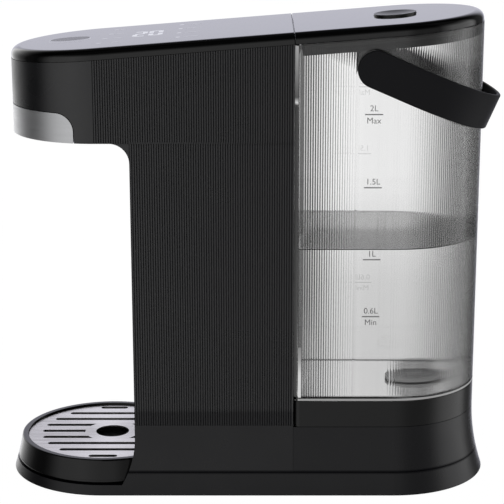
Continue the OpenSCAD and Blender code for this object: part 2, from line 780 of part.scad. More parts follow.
module tank_shell() color([0.8, 0.85, 0.88, 0.35]) difference() {
    union() {
        translate([0, 0, tank_z0]) linear_extrude(seam_z - tank_z0 + 20) fluted_tank();
        for (s = [-1, 1]) translate([pivot_x, s * (body_r - 1), pivot_z]) rotate([-90 * s, 0, 0])
            cylinder(r = pin_r + 4, h = boss_face - body_r + 1);
    }
    above_seam();
    translate([0, 0, tank_in]) linear_extrude(big) tank_plan(tank_x0, end_x, wall, tank_corner - 1.5);
    translate([valve_x, 0, 0]) cylinder(r = spigot_r + fit, h = tank_in + 1);
    for (s = [-1, 1]) translate([pivot_x, s * (inner_r + 1), pivot_z]) rotate([-90 * s, 0, 0])
        cylinder(r = pin_r + 0.02, h = 20);
}

// Plan of the clear shell, fluted but for its corners and its window strips
module fluted_tank() {
    xa = tank_x0 + tank_corner;
    for (s = [0, 1]) mirror([0, s]) polygon(concat([[xa, 0]],
        flutes_straight(xa, window_x - window_w / 2, body_r),
        [[window_x - window_w / 2, body_r], [window_x + window_w / 2, body_r]],
        flutes_straight(window_x + window_w / 2, end_x, body_r),
        [for (p = flutes_round(body_r)) [end_x, 0] + p], [[end_x + body_r - flute_depth, 0]]));
    intersection() {
        tank_plan(tank_x0, end_x, 0, tank_corner);
        translate([0, -big]) square([xa + eps, 2 * big]);
    }
}

module tank_base() color([0.13, 0.13, 0.13]) difference() {
    translate([0, 0, base_z0]) linear_extrude(tank_z0 - base_z0) tank_plan(tank_x0, end_x, 0, tank_corner);
    translate([0, 0, base_z0 + base_t]) linear_extrude(big)
        tank_plan(tank_x0, end_x, wall, tank_corner - 1.5);
    translate([valve_x, 0, 0]) cylinder(r = spigot_r + 0.8, h = big);
}

module valve_body() color([0.25, 0.25, 0.26]) translate([valve_x, 0, 0]) {
    flange_z = tank_in + gasket_t;
    ring(spigot_r - valve_wall, spigot_r, valve_z0, flange_z);
    ring(spigot_r - valve_wall, spigot_r + 4, flange_z, flange_z + 1.7);
    ring(5.5, spigot_r - valve_wall + eps, valve_z0, seat_z);
    ring(stem_r + run, stem_r + 2, hub_z, hub_z + 4);
    for (i = [0:2]) rotate([0, 0, 120 * i + 60]) translate([stem_r + 1, -1.2, hub_z])
        cube([spigot_r - valve_wall - stem_r, 2.4, 4]);
}

module valve_gasket() color([0.7, 0.3, 0.25]) translate([valve_x, 0, 0])
    ring(spigot_r + snug, spigot_r + 4, tank_in, tank_in + gasket_t);

module valve_nut() color([0.25, 0.25, 0.26]) translate([valve_x, 0, 0]) difference() {
    ring(spigot_r + snug, spigot_r + 5, tank_z0 - 5.3, tank_z0);
    for (i = [0:7]) rotate([0, 0, 45 * i]) translate([spigot_r + 4, -1.5, 0]) cube([5, 3, big]);
}

module valve_poppet() color([0.85, 0.85, 0.83]) translate([valve_x, 0, 0]) {
    ring(0, spigot_r - valve_wall - 0.9, poppet_z, poppet_z + 2.4);
    ring(0, stem_r, poppet_z + 2.4, hub_z + 5);
}

module valve_spring() color("silver") translate([valve_x, 0, 0])
    coil(3.4, 0.4, poppet_z + 2.9, hub_z - 0.5, 5);

module tank_strainer() color([0.2, 0.2, 0.2]) translate([valve_x, 0, tank_in + gasket_t + 1.7]) difference() {
    union() {
        ring(spigot_r - 4, spigot_r + 1, 0, 1.4);
        ring(spigot_r - 4, spigot_r - 2.8, 1.4, 8);
        ring(0, spigot_r - 2.8, 8, 9.2);
    }
    for (i = [0:11]) rotate([0, 0, 30 * i]) translate([spigot_r - 6, -0.9, 2.4]) cube([5, 1.8, 4.6]);
}

// ---------- handle ----------

arm_y = body_r + strap_gap + strap_t / 2;
edge_r = strap_t / 2 - 0.3;

// Cross-section of the strap: a flat bar with rounded edges, standing on edge
module strap_section() {
    square([strap_t, strap_w - 2 * edge_r], center = true);
    square([strap_t - 2 * edge_r, strap_w], center = true);
    for (a = [-1, 1], b = [-1, 1]) translate([a * (strap_t / 2 - edge_r), b * (strap_w / 2 - edge_r)])
        circle(edge_r, $fn = 32);
}

module handle() color([0.06, 0.06, 0.06]) translate([pivot_x, 0, pivot_z]) rotate([0, hang, 0]) difference() {
    union() {
        translate([bow_u, 0, 0]) rotate([0, 0, -90]) rotate_extrude(angle = 180)
            translate([arm_y, 0]) strap_section();
        for (s = [-1, 1]) {
            translate([0, s * arm_y, 0]) rotate([90, 0, 90]) linear_extrude(bow_u) strap_section();
            translate([0, s * arm_y, 0]) rotate([90, 0, 0]) rotate_extrude() intersection() {
                rotate(90) strap_section();
                translate([0, -big]) square([big, 2 * big]);
            }
        }
    }
    for (s = [-1, 1]) translate([0, s * (arm_y - strap_t / 2 - 1), 0]) rotate([-90 * s, 0, 0])
        cylinder(r = pin_r + run, h = 2.8);
}

module handle_pins() color("silver") for (s = [-1, 1])
    translate([pivot_x, s * (inner_r + 1), pivot_z]) rotate([-90 * s, 0, 0])
        cylinder(r = pin_r, h = arm_y - strap_t / 2 + 1.5 - inner_r - 1);

// ---------- lid ----------

lid_u0 = slope_u(seam_x) + lid_seam;
lid_ue = slope_u(end_x);
button_hole = button_r + 0.3;
housing_r = button_hole + 2.4;
skirt_in = wall + 1.4;
skirt_t = 2;
skirt_h = 7.5;              // depth of the liner's skirt in the tank's mouth
dish_r = 60;                // hollow in the top of the button
dish_h = 1.4;
guide_r = 3.2;
cup_z = -6;

module tank_lid() color([0.05, 0.05, 0.055]) on_slope() difference() {
    union() {
        round_end(lid_ue, 1) cover_section(body_r);
        along_sides(lid_u0, lid_ue) cover_section(body_r);
    }
    translate([0, 0, -1]) linear_extrude(1 + cover_h - cover_t) tank_plan(lid_u0, lid_ue, wall, 2);
    translate([lid_ue, 0, 0]) cylinder(r = button_hole, h = big);
}

module lid_liner() color([0.3, 0.3, 0.31]) on_slope() difference() {
    union() {
        translate([0, 0, 0.4]) linear_extrude(1.5) tank_plan(lid_u0, lid_ue, wall + snug, 2);
        translate([0, 0, -skirt_h]) linear_extrude(skirt_h + 0.6) tank_plan(lid_u0, lid_ue, skirt_in, 2);
    }
    translate([0, 0, -skirt_h - 1]) linear_extrude(skirt_h + 1.4)
        tank_plan(lid_u0, lid_ue, skirt_in + skirt_t, 1.5);
    translate([lid_ue, 0, -skirt_h - 2]) cylinder(r = housing_r + 0.2, h = 2 * skirt_h);
}

module lid_gasket() color([0.85, 0.85, 0.85])
    on_slope() translate([0, 0, -3.4]) linear_extrude(1.8) difference() {
        tank_plan(lid_u0, lid_ue, skirt_in - 0.7, 2.5);
        tank_plan(lid_u0, lid_ue, skirt_in, 2);
    }

module button_housing() color([0.25, 0.25, 0.26]) on_slope() translate([lid_ue, 0, 0]) {
    ring(housing_r - 1.8, housing_r, cup_z, cover_h - cover_t);
    ring(0, housing_r - 1.8 + eps, cup_z, cup_z + 1.4);
    ring(guide_r + run, guide_r + 1.8, cup_z + 1.4, 0.4);
}

button_w0 = 0.5 + button_travel + 1.2;
module lid_button() color([0.06, 0.06, 0.065]) on_slope() translate([lid_ue, 0, 0]) difference() {
    union() {
        ring(0, button_r, button_w0, cover_h + button_rise);
        ring(0, guide_r, cup_z + 2 + button_travel, button_w0);
    }
    translate([0, 0, cover_h + button_rise - dish_h + dish_r]) sphere(r = dish_r, $fn = 120);
}

module button_spring() color("silver") on_slope() translate([lid_ue, 0, 0])
    coil(7, 0.5, cup_z + 2, button_w0 - 0.6, 4);

// ---------- drip tray ----------

tray_round = 1;
tray_foot = 1.8;            // rounding of the tray's lower edge
slot_inset = 4.4;           // the slots end on a smaller circle, each cut short
slot_short = 4.5;
slot_clear = 7.2;           // from the drain hole to the slots
rim_r = body_r + flare(tray_z - tray_round);
seat_r = rim_r - rim_w;
grille_r = seat_r - 0.4;
grille_z = tray_z - 2.5;

module drip_tray() color([0.06, 0.06, 0.065]) translate([-end_x, 0, 0]) difference() {
    foot_in = body_r + flare(tray_z0 + tray_foot) - tray_foot;
    rotate_extrude() {
        difference() {
            side_section(body_r, tray_z0, tray_z - tray_round);
            translate([foot_in, tray_z0 - eps]) square([2 * tray_foot, tray_foot + eps]);
        }
        translate([foot_in, tray_z0 + tray_foot]) circle(tray_foot, $fn = 48);
        translate([0, tray_z - 2 * tray_round]) square([rim_r - tray_round, 2 * tray_round]);
        translate([rim_r - tray_round, tray_z - tray_round]) circle(tray_round, $fn = 32);
    }
    translate([0, 0, tray_z0 + 2]) cylinder(r = grille_r - 2.2, h = big);
    translate([0, 0, grille_z]) cylinder(r = seat_r, h = big);
}

// Half length of a slot at distance y from the middle
function slot_half(y) = sqrt(pow(grille_r - slot_inset, 2) - y * y) - slot_short;
module drip_grille() color([0.75, 0.75, 0.8]) translate([-end_x, 0, grille_z]) difference() {
    cylinder(r = grille_r, h = grille_t);
    translate([drain_x, 0, -1]) cylinder(r = drain_r, h = 10);
    for (i = [-4:4]) {
        y = i * slot_pitch;
        half = abs(y) < grille_r - slot_inset ? slot_half(y) : 0;
        if (half > slot_w) translate([0, y, -1]) linear_extrude(10) difference() {
            union() {
                square([2 * (half - slot_w / 2), slot_w], center = true);
                for (s = [-1, 1]) translate([s * (half - slot_w / 2), 0]) circle(slot_w / 2, $fn = 24);
            }
            translate([drain_x, -y]) circle(drain_r + slot_clear);
        }
    }
}

base_ring();
bottom_plate();
feet();
base_screws();
cord_gland();
tower_shell();
tray_dock();
rear_housing();
top_cover();
touch_sensor();
display_module();
control_board();
spout_cover();
nozzle();
outlet_chamber();
hot_tube();
inner_frame();
heater_body();
heater_caps();
thermostats();
power_board();
board_components();
pump_motor();
pump_cradle();
pump_volute();
pump_impeller();
inlet_tube();
pump_tube();
dock_socket();
dock_seal();
tank_shell();
tank_base();
valve_body();
valve_gasket();
valve_nut();
valve_poppet();
valve_spring();
tank_strainer();
handle_pins();
handle();
tank_lid();
lid_liner();
lid_gasket();
button_housing();
lid_button();
button_spring();
drip_tray();
drip_grille();
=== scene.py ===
"""Countertop hot water dispenser: fluted black body, glossy sloping top, clear lift-off tank."""
import math

import bpy
import numpy as np
from mathutils import Matrix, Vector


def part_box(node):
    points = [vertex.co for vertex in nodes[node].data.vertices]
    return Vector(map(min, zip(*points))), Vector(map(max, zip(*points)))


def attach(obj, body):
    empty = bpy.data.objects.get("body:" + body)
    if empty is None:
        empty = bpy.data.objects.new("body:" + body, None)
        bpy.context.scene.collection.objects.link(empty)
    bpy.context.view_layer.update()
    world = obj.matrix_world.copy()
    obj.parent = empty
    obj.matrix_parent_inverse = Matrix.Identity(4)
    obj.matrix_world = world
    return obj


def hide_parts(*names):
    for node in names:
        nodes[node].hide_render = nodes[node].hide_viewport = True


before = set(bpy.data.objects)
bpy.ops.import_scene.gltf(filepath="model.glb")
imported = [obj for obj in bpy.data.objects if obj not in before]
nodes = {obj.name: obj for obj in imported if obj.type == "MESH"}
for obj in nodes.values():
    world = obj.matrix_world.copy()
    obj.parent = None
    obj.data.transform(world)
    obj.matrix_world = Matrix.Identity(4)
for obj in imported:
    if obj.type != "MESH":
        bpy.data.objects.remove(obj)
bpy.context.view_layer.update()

# ---------------------------------------------------------------------------------------------
# Camera, light and floor
# A long lens looks at the long side from a little above. The room is all the light there is: its
# glow changes with the direction, and a bright sheet stands close behind the tank.
# ---------------------------------------------------------------------------------------------
MM = 0.001
camera_data = bpy.data.cameras.new("camera")
camera_data.lens = 123.6
camera_data.shift_x = -0.0179
camera_data.shift_y = 0.0754
camera = bpy.data.objects.new("camera", camera_data)
camera.location = (0.0086, -1.095, 0.424)
camera.rotation_euler = (math.radians(74.5), 0, 0)
bpy.context.scene.collection.objects.link(camera)
bpy.context.scene.camera = camera
bpy.context.scene.view_settings.view_transform = "Standard"


def node(tree, kind, inputs=None, **settings):
    """Adds a shader node, with its settings and the values of its sockets."""
    made = tree.nodes.new(kind)
    for name, value in settings.items():
        setattr(made, name, value)
    for name, value in (inputs or {}).items():
        made.inputs[name].default_value = value
    return made


def steps(tree, value, low, high, stops):
    """Level, grey or (r, g, b), that goes through the stops (place, level) from low to high."""
    share = node(tree, "ShaderNodeMapRange", {"From Min": low, "From Max": high})
    tree.links.new(value, share.inputs["Value"])
    ramp = node(tree, "ShaderNodeValToRGB")
    while len(ramp.color_ramp.elements) < len(stops):
        ramp.color_ramp.elements.new(0.5)
    for element, (place, level) in zip(ramp.color_ramp.elements, stops):
        element.position = (place - low) / (high - low)
        element.color = (*np.broadcast_to(level, 3), 1)
    tree.links.new(share.outputs["Result"], ramp.inputs["Fac"])
    return ramp.outputs["Color"]


def maths(tree, operation, *values):
    """A maths node; each value is a number or an output."""
    made = node(tree, "ShaderNodeMath", operation=operation)
    for socket, value in zip(made.inputs, values):
        if isinstance(value, (int, float)):
            socket.default_value = value
        else:
            tree.links.new(value, socket)
    return made.outputs[0]


def room_glow(tree, direction):
    """Radiance of the room in a direction, by azimuth (0 in front, 90 right) and elevation."""
    split = node(tree, "ShaderNodeSeparateXYZ")
    tree.links.new(direction, split.inputs[0])
    x, y, z = (split.outputs[axis] for axis in "XYZ")
    azimuth = maths(tree, "DEGREES", maths(tree, "ARCTAN2", x, maths(tree, "MULTIPLY", y, -1.0)))
    behind = (0.9, 0.9, 1.02)
    around = steps(tree, azimuth, -180, 180, (
        (-180, behind), (-164, behind), (-156, 1.6), (-144, 1.15), (-120, 0.33), (-105, 0.05),
        (-84, 0.03), (-76, 0.12), (-60, 0.55), (-30, 0.68), (-8, 0.5), (10, 0.47), (22, 0.24), (55, 0.24),
        (74, 1.1), (112, 1.2), (124, 0.1), (145, 0.1), (162, behind), (180, behind)))
    elevation = maths(tree, "DEGREES", maths(tree, "ARCSINE", z))
    upward = steps(tree, elevation, -90, 90, (
        (-90, 0.1), (-60, 0.15), (-42, 0.6), (-30, 1.0), (18, 1.0), (32, 0.35), (45, 0.05), (90, 0.03)))
    glow = node(tree, "ShaderNodeVectorMath", operation="MULTIPLY")
    tree.links.new(around, glow.inputs[0])
    tree.links.new(upward, glow.inputs[1])
    return glow.outputs[0]


def room_light():
    """World: the room's glow, and plain white where the camera sees it."""
    world = bpy.data.worlds.new("studio")
    world.use_nodes = True
    bpy.context.scene.world = world
    tree = world.node_tree
    tree.nodes.clear()
    where = node(tree, "ShaderNodeTexCoord")
    room = node(tree, "ShaderNodeBackground")
    tree.links.new(room_glow(tree, where.outputs["Generated"]), room.inputs["Color"])
    white = node(tree, "ShaderNodeBackground", {"Color": (1, 1, 1, 1)})
    path = node(tree, "ShaderNodeLightPath")
    pick = node(tree, "ShaderNodeMixShader")
    tree.links.new(path.outputs["Is Camera Ray"], pick.inputs["Fac"])
    tree.links.new(room.outputs[0], pick.inputs[1])
    tree.links.new(white.outputs[0], pick.inputs[2])
    out = node(tree, "ShaderNodeOutputWorld")
    tree.links.new(pick.outputs[0], out.inputs["Surface"])


def floor_material():
    """Floor: nearly white to the camera, with a trace of the shadows that fall on it."""
    material = bpy.data.materials.new("floor")
    material.use_nodes = True
    tree = material.node_tree
    tree.nodes.clear()
    path = node(tree, "ShaderNodeLightPath")
    lit = node(tree, "ShaderNodeBsdfDiffuse", {"Color": (0.9, 0.9, 0.9, 1)})
    white = node(tree, "ShaderNodeEmission", {"Strength": 1.1})
    seen = node(tree, "ShaderNodeMixShader")
    tree.links.new(maths(tree, "MULTIPLY", path.outputs["Is Camera Ray"], 0.9), seen.inputs["Fac"])
    tree.links.new(lit.outputs[0], seen.inputs[1])
    tree.links.new(white.outputs[0], seen.inputs[2])
    out = node(tree, "ShaderNodeOutputMaterial")
    tree.links.new(seen.outputs[0], out.inputs["Surface"])
    return material


def backlight_material():
    """Glow behind the tank, brightest in the middle of its width, seen only through clear parts."""
    material = bpy.data.materials.new("backlight")
    material.use_nodes = True
    tree = material.node_tree
    tree.nodes.clear()
    split = node(tree, "ShaderNodeSeparateXYZ")
    tree.links.new(node(tree, "ShaderNodeTexCoord").outputs["Object"], split.inputs[0])
    across = steps(tree, split.outputs["X"], -0.05, 0.25, (
        (-0.05, 0.03), (0.045, 0.1), (0.06, 1.1), (0.08, 0.9), (0.12, 0.9), (0.155, 0.1), (0.25, 0.03)))
    up = steps(tree, split.outputs["Z"], 0, 0.6, (
        (0, 0.15), (0.04, 0.2), (0.055, 0.7), (0.11, 0.74), (0.15, 0.9), (0.17, 1.0), (0.6, 1.0)))
    glow = node(tree, "ShaderNodeVectorMath", operation="MULTIPLY")
    tree.links.new(across, glow.inputs[0])
    tree.links.new(up, glow.inputs[1])
    light = node(tree, "ShaderNodeEmission")
    tree.links.new(glow.outputs[0], light.inputs["Color"])
    out = node(tree, "ShaderNodeOutputMaterial")
    tree.links.new(light.outputs[0], out.inputs["Surface"])
    return material


def sheet(name, corners, material):
    """A flat piece of the stage."""
    mesh = bpy.data.meshes.new(name)
    mesh.from_pydata(corners, [], [(0, 1, 2, 3)])
    mesh.materials.append(material)
    made = bpy.data.objects.new(name, mesh)
    bpy.context.scene.collection.objects.link(made)
    return made


room_light()
floor = sheet("floor", [(-3, -3, 0), (3, -3, 0), (3, 3, 0), (-3, 3, 0)], floor_material())
floor.visible_glossy = floor.visible_transmission = False
backlight_y = 0.085
backlight = sheet("backlight", [(-0.3, backlight_y, 0), (0.5, backlight_y, 0), (0.5, backlight_y, 0.6),
                                (-0.3, backlight_y, 0.6)], backlight_material())
backlight.visible_camera = backlight.visible_diffuse = backlight.visible_glossy = False
backlight.visible_shadow = False

# ---------------------------------------------------------------------------------------------
# Black mouldings: base ring, column with the head, rear housing
# Satin ABS with a fine spark-eroded grain. They clip together along the level seam near the
# foot and the upright seam behind the column; the ribs are moulded in.
# ---------------------------------------------------------------------------------------------


def finish_of(name, colour, roughness, metallic=0.0, coat=0.0, coat_roughness=0.03, ior=1.5,
              transmission=0.0, anisotropic=0.0, specular=0.5):
    """A new material with one Principled shader; returns the material, its tree and shader."""
    material = bpy.data.materials.new(name)
    material.use_nodes = True
    tree = material.node_tree
    shader = tree.nodes["Principled BSDF"]
    shader.inputs["Base Color"].default_value = (*colour, 1)
    shader.inputs["Roughness"].default_value = roughness
    shader.inputs["Metallic"].default_value = metallic
    shader.inputs["Coat Weight"].default_value = coat
    shader.inputs["Coat Roughness"].default_value = coat_roughness
    shader.inputs["IOR"].default_value = ior
    shader.inputs["Transmission Weight"].default_value = transmission
    shader.inputs["Anisotropic"].default_value = anisotropic
    shader.inputs["Specular IOR Level"].default_value = specular
    return material, tree, shader


def noise_on(tree, scale, stretch=(1, 1, 1), detail=3.0):
    """Noise in object coordinates; stretch below 1 draws it out along that axis."""
    where = node(tree, "ShaderNodeTexCoord")
    place = node(tree, "ShaderNodeMapping")
    place.inputs["Scale"].default_value = stretch
    tree.links.new(where.outputs["Object"], place.inputs["Vector"])
    noise = node(tree, "ShaderNodeTexNoise", {"Scale": scale, "Detail": detail})
    tree.links.new(place.outputs[0], noise.inputs["Vector"])
    return noise.outputs["Fac"]


def vary(tree, source, socket, low, high):
    """Lets a noise between 0.3 and 0.7 move a shader value between low and high."""
    spread = node(tree, "ShaderNodeMapRange",
                  {"From Min": 0.3, "From Max": 0.7, "To Min": low, "To Max": high})
    tree.links.new(source, spread.inputs["Value"])
    tree.links.new(spread.outputs["Result"], socket)


def emboss(tree, shader, source, depth, strength=1.0):
    """Feeds a height into the shader's normal; depth is in metres."""
    bump = node(tree, "ShaderNodeBump", {"Distance": depth, "Strength": strength})
    tree.links.new(source, bump.inputs["Height"])
    tree.links.new(bump.outputs[0], shader.inputs["Normal"])


def grained_plastic(name, colour, roughness, grain=0.00003):
    """Moulded plastic: fine grain in the normal, and slow patches in the roughness."""
    material, tree, shader = finish_of(name, colour, roughness)
    emboss(tree, shader, noise_on(tree, 2600), grain)
    vary(tree, noise_on(tree, 35), shader.inputs["Roughness"], roughness - 0.05, roughness + 0.05)
    return material


def dress(material, *names):
    """Gives CAD nodes this finish."""
    for name in names:
        slots = nodes[name].data.materials
        slots.clear()
        slots.append(material)


def shell_black(name, level, ribbed):
    """Satin black: shine level, ribbed on the flutes, and painted shade in bands of less shine."""
    material = grained_plastic(name, (0.0085, 0.0085, 0.0112), 0.3)
    tree = material.node_tree
    split = node(tree, "ShaderNodeSeparateXYZ")
    tree.links.new(node(tree, "ShaderNodeTexCoord").outputs["Object"], split.inputs[0])
    # Painted shade: no shine along the level seam near the foot stands in for the shadow in its gap, and
    # less shine in a band at the head's underside tones down a bright line from the mesh's shading.
    shine_with_painted_shade = steps(tree, split.outputs["Z"], 0, 0.4, (
        (0, level), (0.01515, level), (0.0152, 0), (0.0158, 0), (0.01585, level),
        (0.0555, level), (0.0565, ribbed), (0.2279, ribbed), (0.22795, 0.82 * ribbed),
        (0.22905, 0.82 * ribbed), (0.2291, ribbed), (0.4, ribbed)))
    tree.links.new(shine_with_painted_shade, tree.nodes["Principled BSDF"].inputs["Specular IOR Level"])
    return material


satin_black = shell_black("satin_black", 0.48, 0.48)
dress(satin_black, "base_ring", "rear_housing", "tray_dock")
dress(shell_black("ribbed_black", 0.56, 0.88), "tower_shell")

# ---------------------------------------------------------------------------------------------
# Underside: plate, feet, screws, cord gland
# Grey-black PP plate with slots, four soft rubber feet, six zinc plated screws.
# ---------------------------------------------------------------------------------------------
plate_black = grained_plastic("plate_black", (0.022, 0.022, 0.022), 0.55)
rubber = grained_plastic("foot_rubber", (0.018, 0.018, 0.018), 0.75, 0.00006)
dress(plate_black, "bottom_plate", "pump_cradle")
dress(rubber, "feet", "cord_gland")


def drawn_metal(name, colour, roughness, along=(1, 1, 1), spread=0.07, streaks=900):
    """Brushed or drawn metal: streaks along one axis in roughness and normal."""
    material, tree, shader = finish_of(name, colour, roughness, metallic=1.0, anisotropic=0.5)
    lines = noise_on(tree, streaks, along, 4.0)
    vary(tree, lines, shader.inputs["Roughness"], roughness - spread, roughness + spread)
    emboss(tree, shader, lines, 0.00008 * spread)
    return material


zinc = drawn_metal("zinc", (0.66, 0.66, 0.68), 0.32)
dress(zinc, "base_screws", "inner_frame", "handle_pins", "button_spring", "valve_spring")

# ---------------------------------------------------------------------------------------------
# Drip tray and grille
# Glossy black tray with a 1 mm rolled rim; the grille is pressed from brushed stainless sheet
# and lies loose in the tray's seat.
# ---------------------------------------------------------------------------------------------


def polished_plastic(name, colour, roughness=0.07, coat=0.0, ior=1.5):
    """High gloss plastic: faint wiped streaks in its roughness."""
    material, tree, shader = finish_of(name, colour, roughness, coat=coat, ior=ior,
                                       coat_roughness=0.02)
    vary(tree, noise_on(tree, 22, (0.25, 1, 1)), shader.inputs["Roughness"],
         roughness, roughness + 0.05)
    return material


tray_black = polished_plastic("tray_black", (0.005, 0.005, 0.0055), 0.16)
dress(tray_black, "drip_tray")
grille_steel = drawn_metal("grille_steel", (0.88, 0.86, 0.83), 0.3, (0.03, 1, 1))
dress(grille_steel, "drip_grille")

# ---------------------------------------------------------------------------------------------
# Silver spout cover and nozzle
# The cover is a metallised moulding brushed along its length, clipped to the lower front of the
# head. The nozzle behind it is dark heat resistant plastic.
# ---------------------------------------------------------------------------------------------
spout_silver = drawn_metal("spout_silver", (0.76, 0.765, 0.78), 0.34, (0.05, 0.05, 1), 0.03)
dress(spout_silver, "spout_cover")
dress(plate_black, "nozzle")

# ---------------------------------------------------------------------------------------------
# Control cover on the head
# Piano black cover in the slope of the top. Touch circle, icons, lit digits and the rows of
# small lights are printed under its clear coat; nothing on it is a word. The pale print has a
# painted glow, and a duller ellipse in the touch circle is painted shade for its dish.
# ---------------------------------------------------------------------------------------------
piano_black = polished_plastic("piano_black", (0.002, 0.002, 0.0022), 0.03, ior=1.6)
dress(piano_black, "top_cover")

SLOPE = math.radians(4.5)
body_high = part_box("tank_base")[1]
body_r = body_high.y
end_x = body_high.x - body_r
seam_z = 286 * MM
cover_h = 7 * MM


def on_slope(points):
    """Points (u, v, w) of the sloping seam plane as x, y, z: u up the slope, w square to it."""
    p = np.asarray(points, float)
    u, v, w = p[..., 0], p[..., 1], p[..., 2]
    return np.stack([u * math.cos(SLOPE) - w * math.sin(SLOPE), v,
                     seam_z + u * math.sin(SLOPE) + w * math.cos(SLOPE)], -1)


def piece(name, points, faces, body, material, replaces=(), smooth=True):
    """Makes a mesh object from points and faces, and lets it ride on a body."""
    mesh = bpy.data.meshes.new(name)
    mesh.from_pydata(np.asarray(points, float).reshape(-1, 3).tolist(), [], faces)
    mesh.polygons.foreach_set("use_smooth", [smooth] * len(mesh.polygons))
    mesh.materials.append(material)
    mesh.validate()
    made = bpy.data.objects.new(name, mesh)
    bpy.context.scene.collection.objects.link(made)
    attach(made, body)
    if replaces:
        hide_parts(*replaces)
    return made


def quads(rows, columns, close_rows=False, close_columns=False, start=0):
    """Faces of a grid stored row by row; a closed direction joins its last line to its first."""
    r = np.arange(rows if close_rows else rows - 1)[:, None]
    c = np.arange(columns if close_columns else columns - 1)[None, :]
    r1, c1 = (r + 1) % rows, (c + 1) % columns
    corners = [r * columns + c, r * columns + c1, r1 * columns + c1, r1 * columns + c]
    return (start + np.stack(np.broadcast_arrays(*corners), -1).reshape(-1, 4)).tolist()


def lip_outline():
    """Outline (v, w) of the lip in the seam: the cover's own section, a little smaller."""
    r, half_v, top = 5.2 * MM, body_r - 0.5 * MM, cover_h - 0.5 * MM
    a = np.linspace(0, math.pi / 2, 9)
    right = [(half_v - r + r * math.cos(t), top - r + r * math.sin(t)) for t in a]
    return [(-half_v, 0.4 * MM), (half_v, 0.4 * MM)] + right + [(-v, w) for v, w in right[::-1]]


seam_u = 29 * MM / math.cos(SLOPE)
lip_depth, lip_end_x = 0.42 * MM, 29.2 * MM
lip = lip_outline()
lip_points = [(seam_u, v, w) for v, w in lip]
lip_points += [(min(seam_u + lip_depth, (lip_end_x + w * math.sin(SLOPE)) / math.cos(SLOPE)), v, w)
               for v, w in lip]
lip_faces = [list(range(len(lip)))[::-1], list(range(len(lip), 2 * len(lip)))]
lip_faces += quads(2, len(lip), False, True)
piece("cover_lip", on_slope(lip_points), lip_faces, "base", satin_black, smooth=False)


def glow(name, strength):
    """A lit mark, or a pale printed one whose brightness is a painted glow, under the clear coat."""
    material, _, shader = finish_of(name, (0.002, 0.002, 0.0022), 0.04, ior=1.6)
    shader.inputs["Emission Color"].default_value = (0.93, 0.95, 1.0, 1)
    shader.inputs["Emission Strength"].default_value = strength
    return material


lit_white = glow("lit_white", 0.3)
# Painted light: the pale print glows by itself instead of showing the light that falls on it.
print_painted_glow = glow("print_painted_glow", 0.13)
print_lift = 0.03 * MM


def flat_marks(name, outlines, material):
    """Closed outlines (u, v) laid just above the cover, as one piece."""
    points, faces = [], []
    for outline in outlines:
        faces.append(list(range(len(points), len(points) + len(outline))))
        points += [(u, v, cover_h + print_lift) for u, v in outline]
    return piece(name, on_slope(points), faces, "base", material, smooth=False)


def rounded_bar(u, v, length, width, n=6):
    """Outline of a bar with round ends, centred at (u, v)."""
    r = width / 2
    a = np.linspace(-math.pi / 2, math.pi / 2, n)
    right = [(u + length / 2 - r + r * math.cos(t), v + r * math.sin(t)) for t in a]
    left = [(u - length / 2 + r - r * math.cos(t), v - r * math.sin(t)) for t in a]
    return right + left


def arc_band(u, v, radius, width, a0, a1, n=48):
    """Outline of an arc of a ring from a0 to a1, in degrees."""
    a = np.radians(np.linspace(a0, a1, n))
    outer = [(u + (radius + width / 2) * math.cos(t), v + (radius + width / 2) * math.sin(t)) for t in a]
    inner = [(u + (radius - width / 2) * math.cos(t), v + (radius - width / 2) * math.sin(t)) for t in a]
    return outer + inner[::-1]


def digit(u, v, width, height, bar, lit):
    """Outlines of a seven-segment digit, upright along v."""
    along_u, along_v = (width - bar) / 2, (height / 2 - bar) / 2
    places = {"a": (0, height / 2 - bar / 2), "g": (0, 0), "d": (0, bar / 2 - height / 2),
              "f": (bar / 2 - width / 2, height / 4), "b": (width / 2 - bar / 2, height / 4),
              "e": (bar / 2 - width / 2, -height / 4), "c": (width / 2 - bar / 2, -height / 4)}
    found = []
    for segment in lit:
        du, dv = places[segment]
        half_u, half_v = (along_u, bar / 2) if segment in "agd" else (bar / 2, along_v)
        found.append([(u + du + su * half_u, v + dv + sv * half_v)
                      for su, sv in ((-1, -1), (1, -1), (1, 1), (-1, 1))])
    return found


row_pitch = 21.3 * MM
rows_v = [(k - 1.4) * row_pitch for k in range(4)]
touch_u, touch_r = -112 * MM, 12.5 * MM
# Painted shade: a duller ellipse of the cover's black, set towards the far side of the touch circle, stands
# in for the shade in the touch area's dish.
dish_shade_finish = polished_plastic("touch_dish_shade", (0.002, 0.002, 0.0022), 0.26, ior=1.6)
flat_marks("touch_dish_shade", [[(touch_u + touch_r * math.cos(t), 5.5 * MM + 0.68 * touch_r * math.sin(t))
                           for t in np.linspace(0, 2 * math.pi, 65)[:-1]]], dish_shade_finish)
flat_marks("touch_ring", [arc_band(touch_u, 0, touch_r + 0.6 * MM, 0.8 * MM, -178, 178, 64)], print_painted_glow)
digit_v, digit_w, digit_h, digit_bar = 1 * MM, 9 * MM, 24 * MM, 3 * MM
flat_marks("digits", digit(-67.4 * MM, digit_v, digit_w, digit_h, digit_bar, "abged")
           + digit(-57.3 * MM, digit_v, digit_w, digit_h, digit_bar, "abcdef"), lit_white)
flat_marks("icons", [outline for v in rows_v for outline in (
    rounded_bar(-88 * MM + 0.1 * v, v, 4 * MM, 4 * MM, 10), rounded_bar(-81 * MM, v, 5 * MM, 2.4 * MM))],
    print_painted_glow)
flat_marks("row_lights", [rounded_bar(-42.2 * MM, v, 3 * MM, 3 * MM, 10) for v in rows_v], lit_white)
flat_marks("row_bars", [rounded_bar(-34 * MM, v, 10 * MM, 2.2 * MM) for v in rows_v], print_painted_glow)

